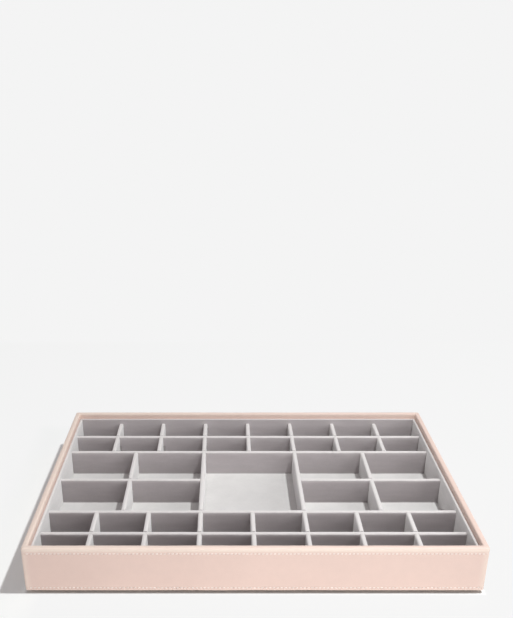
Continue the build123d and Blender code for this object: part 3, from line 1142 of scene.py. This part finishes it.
@dataclass
class DividerSet:
    """All velvet-covered dividers, with half laps at crossings and slots for tongues."""
    finish: Finish
    thickness: float = 4.8 * MM
    core_thickness: float = 2.2 * MM
    cloth: float = 1.3 * MM
    top_radius: float = 1.8 * MM
    channel_radius: float = 0.4 * MM
    clearance: float = 0.1 * MM
    touch: float = 0.5 * MM
    lap_share: float = 0.5
    tongue_shares: Span = (0.3, 0.7)
    spacing: float = 2.6 * MM
    face_spacing: float = 3.4 * MM
    foot: float = 0.7 * MM
    end_softness: float = 0.14 * MM
    soft_width: float = 0.75 * MM
    soft_steps: ClassVar[Array] = np.array([-2.0, -1.0, -0.45, 0.45, 1.0, 2.0]) * MM
    soft_margin: float = 0.2 * MM
    face_swell: Swell = Swell(0.06 * MM, 55 * MM, 14 * MM, 0.5)
    top_swell: Swell = Swell(0.06 * MM, 48 * MM)
    steady_share: float = 0.97
    # The sleeve's top gets a painted highlight from this share of its height up.
    rubbed_from: float = 0.95
    rubbed_over: float = 0.03
    seeds: Span = (100, 5)
    dividers: List[Divider] = field(default_factory=list)

    def __post_init__(self) -> None:
        """Reads the dividers from the frame and finds where they meet."""
        for node in sorted(frame["nodes"]):
            if "divider" in node and node.endswith("_velvet"):
                axis = Axis.X if "_row_" in node else Axis.Y
                self.dividers.append(Divider(node, axis, Extent.of_node(node)))
        for one in self.dividers:
            for other in self.dividers:
                if one.axis is not other.axis:
                    self.meet(one, other)

    def inside(self, one: Divider, other: Divider) -> bool:
        """Whether a divider's middle is between the ends of another."""
        return one.along[0] + self.thickness < other.across < one.along[1] - self.thickness

    def meet(self, one: Divider, other: Divider) -> None:
        """Notes a half lap where another divider crosses this one, or a slot where it ends at it.

        Args:
            one: this divider.
            other: a divider that runs the other way.
        """
        if not self.inside(one, other):
            return
        if self.inside(other, one):
            one.laps.append(other.across)
            return
        for end, way in zip(other.along, (1, -1)):
            if abs(end - (one.across + way * self.thickness / 2)) < self.touch:
                one.slots.append((other.across, way))

    def lap_height(self, extent: Extent) -> float:
        """Height of the half laps."""
        return extent.low[2] + self.lap_share * extent.size(2)

    def tongue_heights(self, extent: Extent) -> Span:
        """Heights of the slots for tongues."""
        low, high = (extent.low[2] + share * extent.size(2) for share in self.tongue_shares)
        return low - self.clearance, high + self.clearance

    def sleeve(self, divider: Divider, seed: int) -> None:
        """Builds one sleeve.

        Formula: a round-topped arch across the divider, carried along it, with a thinner arch as
        its inner side. The arch draws in by a bell curve at each end and lap, and long and short
        waves move its faces and its top.

        Args:
            divider: the divider.
            seed: seed of the waves.
        """
        extent = divider.extent
        low, top = extent.span(2)
        half, inner_half = self.thickness / 2, self.core_thickness / 2
        lap = self.lap_height(extent)
        marks = [lap, lap + self.clearance, *self.tongue_heights(extent), low + self.foot]
        faces = stations((low, top - self.top_radius), self.face_spacing, marks)[:-1]
        outer = arch(half, faces, top, self.top_radius)
        inner = arch(inner_half, faces, top - self.cloth, self.channel_radius)
        cuts = both_sides(divider.laps, half + self.clearance)
        slots = both_sides([at for at, _ in divider.slots], inner_half + self.clearance)
        soft_places = [*divider.along, *(cuts if divider.axis is Axis.Y else [])]
        soft = np.add.outer(soft_places, self.soft_steps).reshape(-1)
        fixed = [*cuts, *slots, *divider.along]
        soft = soft[apart(soft, fixed) > self.soft_margin]
        along = stations(divider.along, self.spacing, [*fixed, *soft])
        u = along[:, None]
        across, heights = outer.T
        share = np.clip((heights - low) / (top - low), 0, 1)
        softness = self.end_softness * bell(apart(along, soft_places), self.soft_width)[:, None]
        offset = across * (1 - softness / half)
        height = heights - softness * share ** 6
        rough = divider.place(u, offset, height)
        swollen = self.face_swell.at(rough, seed) * share * (share < self.steady_share)
        offset = offset + np.sign(across) * swollen
        height = height + self.top_swell.at(rough * (1, 1, 0), seed + 2) * share ** 4
        inside = divider.place(u, *inner.T)
        sides = (divider.place(u, offset, height), inside, self.kept(divider, along, outer))
        # Painted highlight along the sleeve's top.
        rubbed = np.clip((share - self.rubbed_from) / self.rubbed_over, 0, 1) + 0 * u
        width = 2 * (top - low) + self.thickness - self.top_radius
        core = divider.name.replace("_velvet", "_core")
        if core not in frame["nodes"]:
            core = divider.name.split("_column_")[0] + "_column_divider_cores"
        cut = Cut((divider.along[1] - divider.along[0], width), Hold.FOLDED, [core])
        make_cloth(divider.name + "_sleeve", sides, rubbed, self.finish, divider.name)

    def kept(self, divider: Divider, along: Array, outer: Array) -> Array:
        """Cells of the sleeve that are left by its laps and slots.

        Args:
            divider: the divider.
            along: places along it.
            outer: points of its arch.

        Returns:
            Whether each cell is there.
        """
        u = middles(along)[:, None]
        across, z = middles(outer).T
        keep = np.ones((len(u), len(z)), bool)
        lap = self.lap_height(divider.extent)
        for at in divider.laps:
            reach = self.thickness / 2 + self.clearance
            taken = z < lap + self.clearance if divider.axis is Axis.X else z > lap
            keep &= ~(within(u, (at - reach, at + reach)) & taken)
        for at, way in divider.slots:
            reach = self.core_thickness / 2 + self.clearance
            here = within(u, (at - reach, at + reach)) & (across * way * divider.turn > 0)
            keep &= ~(here & within(z, self.tongue_heights(divider.extent)))
        return keep

    def build(self) -> None:
        """Builds every sleeve."""
        for number, divider in enumerate(self.dividers):
            self.sleeve(divider, self.seeds[0] + self.seeds[1] * number)


# Velvet liner walls and floor

@dataclass
class Liner:
    """Velvet over the face and the top of each liner board."""
    dividers: DividerSet
    cloth: float = 1.3 * MM
    edge_radius: float = 1.1 * MM
    back_radius: float = 1.25 * MM
    spacing: float = 2.8 * MM
    board_margin: float = 0.2 * MM
    top_margin: float = 0.1 * MM
    end_overlap: float = 1.5 * MM
    face_swell: Swell = Swell(0.07 * MM, 60 * MM, 16 * MM, 0.4)
    top_swell: Swell = Swell(0.042 * MM, 40 * MM)
    # The liner's top gets a painted highlight.
    rubbed_from: float = 0.975
    rubbed_over: float = 0.02
    rubbed_share: float = 0.5
    seeds: Span = (300, 7)

    def ends_at(self, face: Face, surface: float) -> List[float]:
        """Places along a face where a divider's tongue goes through the velvet.

        Args:
            face: side of the tray.
            surface: place of the velvet's face.

        Returns:
            The places.
        """
        found = []
        for divider in self.dividers.dividers:
            gap = abs(divider.extent.side(face.across, face.way) - surface)
            if divider.axis.value == face.across and gap < self.dividers.touch:
                found.append(divider.across)
        return found

    def wall(self, face: Face, seed: int) -> None:
        """Builds one wall.

        Formula: up the face, a quarter circle on to the top, along the top, and a small quarter
        circle at the back, carried along the wall; waves move the face and the top.

        Args:
            face: side of the tray.
            seed: seed of the waves.
        """
        node, board = f"liner_velvet_{face.word}", f"liner_board_{face.word}"
        extent = Extent.of_node(node)
        depth = extent.size(face.across)
        low, top = extent.span(2)
        board_top = Extent.of_node(board).high[2]
        slot = self.dividers.tongue_heights(self.dividers.dividers[0].extent)
        edge, back = self.edge_radius, self.back_radius
        marks = [*slot, board_top, low + self.dividers.foot]
        heights = stations((low, top - edge), self.dividers.face_spacing, marks)[:-1]
        over = np.concatenate([
            arc((edge, top - edge), edge, (180, 90), 5),
            level([(edge + depth - back) / 2], top),
            arc((depth - back, top - back), back, (90, 0), 2),
        ])
        outer = np.concatenate([upright(0.0, heights), over])
        inner = np.concatenate([
            upright(self.cloth, np.append(np.minimum(heights, board_top - self.board_margin), board_top)),
            level(np.linspace(self.cloth + self.top_margin, depth, len(over) - 1), board_top),
        ])
        surface = extent.side(face.across, -face.way)
        sign = face.along[1 - face.across]
        ends = [sign * at for at in self.ends_at(face, surface)]
        half = extent.size(1 - face.across) / 2
        reach = self.dividers.core_thickness / 2 + self.dividers.clearance
        cuts = both_sides(ends, reach)
        board_end = half - self.end_overlap
        corners = [-board_end, board_end] if face.across == 1 else []
        along = stations((-half, half), self.spacing, cuts + corners)
        u = along[:, None]

        def place(inwards: Array, height: Array) -> Array:
            """Places in the tray for distances behind the velvet's face and heights."""
            parts = ((u, face.along), (abs(surface) + inwards, face.outward), (height, UP))
            return sum((part + 0 * u + 0 * height)[..., None] * vector for part, vector in parts)

        behind, levels = outer.T
        share = np.clip((levels - low) / (top - low), 0, 1)
        rough = place(behind, levels)
        inwards = behind + self.face_swell.at(rough, seed) * share * (behind < edge)
        height = levels + self.top_swell.at(rough, seed + 2) * share ** 6
        middle_u, middle_z = middles(along)[:, None], middles(levels)
        keep = np.ones((len(along) - 1, len(outer) - 1), bool)
        for at in ends:
            keep &= ~(within(middle_u, (at - reach, at + reach)) & within(middle_z, slot))
        if corners:
            keep &= ~((np.abs(middle_u) > board_end) & (middle_z < board_top))
        sides = (place(inwards, height)[::-1], place(*inner.T)[::-1], keep[::-1])
        # Painted highlight along the top of the wall.
        top_share = np.clip((share - self.rubbed_from) / self.rubbed_over, 0, 1)
        rubbed = (self.rubbed_share * top_share + 0 * u)[::-1]
        make_cloth(node + "_cloth", sides, rubbed, self.dividers.finish, node)

    def build(self) -> None:
        """Builds all four walls."""
        for number, face in enumerate(Face):
            self.wall(face, self.seeds[0] + self.seeds[1] * number)


@dataclass
class FloorCover:
    """Velvet glued over the floor board, pressed down a little beside everything on it."""
    dividers: DividerSet
    node: str = "floor_velvet"
    spacing: float = 3.2 * MM
    crease_depth: float = 0.3 * MM
    crease_place: float = 0.7 * MM
    crease_width: float = 0.55 * MM
    crease_steps: ClassVar[Array] = np.array([0.0, 0.35, 0.7, 1.2, 2.2]) * MM
    swell: Swell = Swell(0.07 * MM, 70 * MM, 20 * MM, 0.5)
    even_reach: float = 6 * MM
    seed: int = 41

    def build(self) -> None:
        """Builds the sheet.

        Formula: the level of the floor, less a bell curve of the distance to the nearest divider
        or wall that is deepest just beside it, plus waves away from them.
        """
        extent = Extent.of_node(self.node)
        walls = (Extent.of_node("liner_velvet_right").low[0], Extent.of_node("liner_velvet_back").low[1])
        marks = [[way * (wall - step) for step in self.crease_steps for way in (-1, 1)] for wall in walls]
        for divider in self.dividers.dividers:
            across = 1 - divider.axis.value
            low, high = divider.extent.span(across)
            marks[across] += [*(low - self.crease_steps), *(high + self.crease_steps)]
        x, y = (stations(extent.span(axis), self.spacing, marks[axis]) for axis in (0, 1))
        grid = np.meshgrid(x, y, indexing="ij")
        distance = np.minimum(walls[0] - np.abs(grid[0]), walls[1] - np.abs(grid[1]))
        for divider in self.dividers.dividers:
            spans = [divider.extent.span(axis) for axis in (0, 1)]
            away_x, away_y = (np.maximum(low - at, at - high) for at, (low, high) in zip(grid, spans))
            beside = np.hypot(np.maximum(away_x, 0), np.maximum(away_y, 0))
            distance = np.minimum(distance, beside + np.minimum(np.maximum(away_x, away_y), 0))
        crease = bell(distance - self.crease_place, self.crease_width) * (distance > 0)
        flat = np.stack([*grid, np.full_like(distance, extent.high[2])], axis=-1)
        free = np.clip(distance / self.even_reach, 0, 1)
        lift = self.swell.at(flat, self.seed) * free - self.crease_depth * crease
        inner = np.stack([*grid, np.full_like(distance, extent.low[2])], axis=-1)
        sides = (flat + lift[..., None] * UP, inner, np.ones((len(x) - 1, len(y) - 1), bool))
        cut = Cut((extent.size(0), extent.size(1)), Hold.LAID, ["floor_board"])
        rubbed = np.zeros_like(distance)
        make_cloth(self.node + "_cloth", sides, rubbed, self.dividers.finish, self.node)


# Underside

@dataclass
class Underside:
    """Flocked lining glued under the plinth."""
    finish: Finish
    node: str = "underside_lining"
    corner_radius: float = 4.0 * MM
    corner_points: int = 8
    spacing: float = 4.0 * MM
    edge_softness: float = 0.2 * MM
    edge_width: float = 0.35 * MM
    edge_share: float = 0.9985
    swell: Swell = Swell(0.03 * MM, 30 * MM)
    seed: int = 61

    def build(self) -> None:
        """Builds the lining.

        Formula: rows across the length whose half length is the half length of the plate, less
        what the corner circle takes from it near the front and the back. The edge of the face
        that shows draws in and up a little.
        """
        extent = Extent.of_node(self.node)
        half_x, half_y = extent.size(0) / 2, extent.size(1) / 2
        radius = self.corner_radius
        straight = half_y - radius
        round_y = straight + radius * np.sin(np.radians(np.linspace(0, 90, self.corner_points)))
        y = np.concatenate([-round_y, np.arange(-straight, straight, self.spacing)[1:], round_y])
        y = np.unique(np.round(y, 7))
        beyond = np.clip(np.abs(y) - straight, 0, radius)
        reach = (half_x - radius + np.sqrt(np.maximum(radius ** 2 - beyond ** 2, 0)))[:, None]
        share = np.linspace(-1, 1, int(2 * half_x / self.spacing) + 1)
        share = np.unique(np.concatenate([share, [-self.edge_share, self.edge_share]]))
        x, grid_y = np.broadcast_arrays(reach * share, y[:, None])
        edge = np.minimum(reach - np.abs(x), half_y - np.abs(grid_y))
        wobble = self.swell.amount + self.swell.at(np.stack([x, grid_y, 0 * x], axis=-1), self.seed)
        lift = self.edge_softness * bell(edge, self.edge_width) + wobble
        outer = np.stack([x, grid_y, extent.low[2] + np.maximum(lift, 0)], axis=-1)
        inner = np.stack([x, grid_y, np.full_like(x, extent.high[2])], axis=-1)
        keep = np.ones((len(y) - 1, len(share) - 1), bool)
        make_cloth(self.node + "_flock", (outer, inner, keep), None, self.finish, self.node)


# Boards, which keep their own solids

@dataclass
class Boards:
    """Boards and divider cores of the frame, which stay and get their finish."""
    finishes: Sequence[Finish]

    def dress(self) -> None:
        """Gives every board and core the finish of its material slot."""
        slots = {part["node"]: part["material_slot"] for part in frame["record"]["subparts"]}
        by_slot = {finish.slot: finish for finish in self.finishes}
        for name, node in sorted(frame["nodes"].items()):
            if node.hide_render:
                continue
            material = by_slot[slots[name]].material()
            if node.data.materials:
                node.material_slots[0].material = material
            else:
                node.data.materials.append(material)
            LOG.info("%s keeps its solid, %s", name, slots[name])


# Studio

class LampKind(Enum):
    """Kinds of lamp, in the scene's words."""
    POINT = "POINT"
    AREA = "AREA"


class Lit(Enum):
    """What a lamp lights, in the words of the floor's place in its light linking."""
    TRAY = "EXCLUDE"
    FLOOR = "INCLUDE"


@dataclass(frozen=True)
class Lamp:
    """A lamp that stands somewhere and shines at the tray."""
    name: str
    kind: LampKind
    place: Place
    power: float
    size: float
    lit: Lit
    target: Place = (0.0, 0.0, 0.03)
    colour: Place = (1.0, 1.0, 1.0)

    def build(self, ground: bpy.types.Object) -> None:
        """Makes the lamp.

        Args:
            ground: the floor, which a lamp either leaves out or lights alone.
        """
        lamp = bpy.data.lights.new(self.name, self.kind.value)
        lamp.energy = self.power
        lamp.color = self.colour
        if self.kind is LampKind.AREA:
            lamp.shape = "DISK"
            lamp.size = self.size
        else:
            lamp.shadow_soft_size = self.size
        holder = bpy.data.objects.new(self.name, lamp)
        holder.location = self.place
        holder.rotation_mode = "QUATERNION"
        holder.rotation_quaternion = (Vector(self.target) - Vector(self.place)).to_track_quat("-Z", "Y")
        bpy.context.scene.collection.objects.link(holder)
        receivers = bpy.data.collections.new(self.name + "_lights")
        receivers.objects.link(ground)
        receivers.collection_objects[0].light_linking.link_state = self.lit.value
        holder.light_linking.receiver_collection = receivers


@dataclass(frozen=True)
class View:
    """The photograph's camera, with its values in pixels of the 513 by 618 frame."""
    width: float = 513.0
    height: float = 618.0
    focal: float = 784.93
    centre: Span = (226.45, 412.89)
    pitch: float = 24.816
    place: Place = (-0.02709, -0.76594, 0.47529)
    sensor: float = 36.0

    def build(self) -> None:
        """Makes the camera."""
        long_side = max(self.width, self.height)
        lens = bpy.data.cameras.new("camera")
        lens.sensor_width = self.sensor
        lens.lens = self.focal * self.sensor / long_side
        lens.shift_x = (self.width / 2 - self.centre[0]) / long_side
        lens.shift_y = (self.centre[1] - self.height / 2) / long_side
        camera = bpy.data.objects.new("camera", lens)
        camera.location = self.place
        camera.rotation_euler = (math.radians(90 - self.pitch), 0, 0)
        bpy.context.scene.collection.objects.link(camera)
        bpy.context.scene.camera = camera


@dataclass
class Studio:
    """Pale floor, plain soft light and the camera.

    A small lamp over the right end gives the tray its short shadows, a broad one at the right
    brightens what faces it, and one low in front lights the front face. The floor has a lamp of its
    own, so that its tone stays even away from the tray.
    """
    backdrop: Colour = linear(244, 244, 244)
    floor_half: float = 30.0
    paper_shares: Colour = (0.965, 1.0, 0.99, 1.0)
    paper_tone: Span = (3.0, 0.002)
    glow_edge: Span = (-1.0 * MM, 3.0 * MM)
    glow_shares: Span = (0.93, 0.15)
    shadow_reach: Span = (42.0 * MM, 70.0 * MM)
    far_reach: Span = (80.0 * MM, 420.0 * MM)
    glow_turn: Span = (-226.0 * MM, -206.0 * MM)
    showing_rays: Tuple[str, ...] = ("Camera", "Glossy", "Transmission")
    sky: float = 0.33
    sky_tint: Colour = (1.05, 0.98, 1.0, 1.0)
    lamps: Tuple[Lamp, ...] = (
        Lamp("key", LampKind.POINT, (0.31, -0.13, 0.97), 20.5, 0.02, Lit.TRAY, colour=(0.98, 1.0, 1.0)),
        Lamp("right", LampKind.AREA, (0.9, -0.4, 0.6), 2.9, 0.6, Lit.TRAY),
        Lamp("low", LampKind.AREA, (0.07, -0.6, 0.15), 0.81, 0.25, Lit.TRAY),
        Lamp("floor", LampKind.POINT, (0.54, -0.152, 1.49), 87.0, 0.032, Lit.FLOOR),
    )

    def floor(self) -> bpy.types.Object:
        """Makes the floor: it carries the tray's shadow, and part of its own tone is glow for the camera.

        Returns:
            The floor.
        """
        corners = np.array([[-1, -1, 0], [1, -1, 0], [1, 1, 0], [-1, 1, 0]]) * self.floor_half
        ground = make_piece("floor", corners, [np.array([[0, 1, 2, 3]])])
        material = bpy.data.materials.new("floor_paper")
        material.use_nodes = True
        graph = Graph(material.node_tree)
        paper = tuple(colour * share for colour, share in zip(self.backdrop, self.paper_shares))
        scale, amount = self.paper_tone
        toned = graph.shared(tone, Color=paper, Scale=scale, Amount=amount)["Color"]
        plain = graph.node("BsdfDiffuse", {"Color": toned}).outputs[0]
        glow = graph.node("Emission", {"Color": self.backdrop, "Strength": 1.0}).outputs[0]
        seen = graph.times(self.seen(graph), self.glow_share(graph))
        mixed = graph.node("MixShader", {0: seen, 1: plain, 2: glow}).outputs[0]
        graph.node("OutputMaterial", {"Surface": mixed})
        ground.data.materials.append(material)
        return ground

    def glow_share(self, graph: Graph) -> Socket:
        """Share of glow: none under the tray, little in the shadow just left of it, and most elsewhere.

        Args:
            graph: the floor's graph.

        Returns:
            The share.
        """
        axes = graph.node("SeparateXYZ", {"Vector": graph.place()}).outputs
        distances = [graph.maths("ABSOLUTE", axes[title]) for title in ("X", "Y")]
        past_x, past_y = (graph.maths("SUBTRACT", at, end) for at, end in zip(distances, cad_box[1]))
        past = graph.maths("MAXIMUM", past_x, past_y)
        left = graph.spread(axes["X"], self.glow_turn, (1.0, 0.0))
        shadowed = graph.times(left, graph.spread(past, self.shadow_reach, (1.0, 0.0)))
        share = graph.spread(shadowed, (0.0, 1.0), self.glow_shares)
        beyond = graph.times(graph.spread(past, self.glow_edge), share)
        return graph.maths("MAXIMUM", beyond, graph.spread(past, self.far_reach))

    def seen(self, graph: Graph) -> Socket:
        """1 for rays that show the surroundings themselves: camera, glossy and transmission rays."""
        rays = [graph.node("LightPath").outputs[f"Is {kind} Ray"] for kind in self.showing_rays]
        return graph.maths("MAXIMUM", graph.maths("MAXIMUM", *rays[:2]), rays[2])

    def world(self) -> None:
        """Makes the surroundings: even light, and a backdrop as pale as the floor."""
        world = bpy.data.worlds.new("surroundings")
        bpy.context.scene.world = world
        world.use_nodes = True
        graph = Graph(world.node_tree)
        light = graph.node("Background", {"Color": self.sky_tint, "Strength": self.sky}).outputs[0]
        shown = graph.node("Background", {"Color": self.backdrop, "Strength": 1.0}).outputs[0]
        mixed = graph.node("MixShader", {0: self.seen(graph), 1: light, 2: shown}).outputs[0]
        graph.node("OutputWorld", {"Surface": mixed})

    def build(self) -> None:
        """Makes the floor, the surroundings, the lamps and the camera."""
        ground = self.floor()
        self.world()
        for lamp in self.lamps:
            lamp.build(ground)
        View().build()
        bpy.context.scene.view_settings.view_transform = "Standard"


def main() -> None:
    """Builds the tray piece by piece, then the studio."""
    logging.basicConfig(level=logging.INFO, format="%(name)s %(message)s")
    wrap = OuterWrap(StitchPlan(), LEATHERETTE)
    wrap.build()
    Stitching(wrap, THREAD).build()
    dividers = DividerSet(VELVET)
    dividers.build()
    Liner(dividers).build()
    FloorCover(dividers).build()
    Underside(FLOCK).build()
    Boards((GREYBOARD, FIBREBOARD, DARK_GAP_BOARD)).dress()
    Studio().build()


if __name__ == "__main__":
    main()
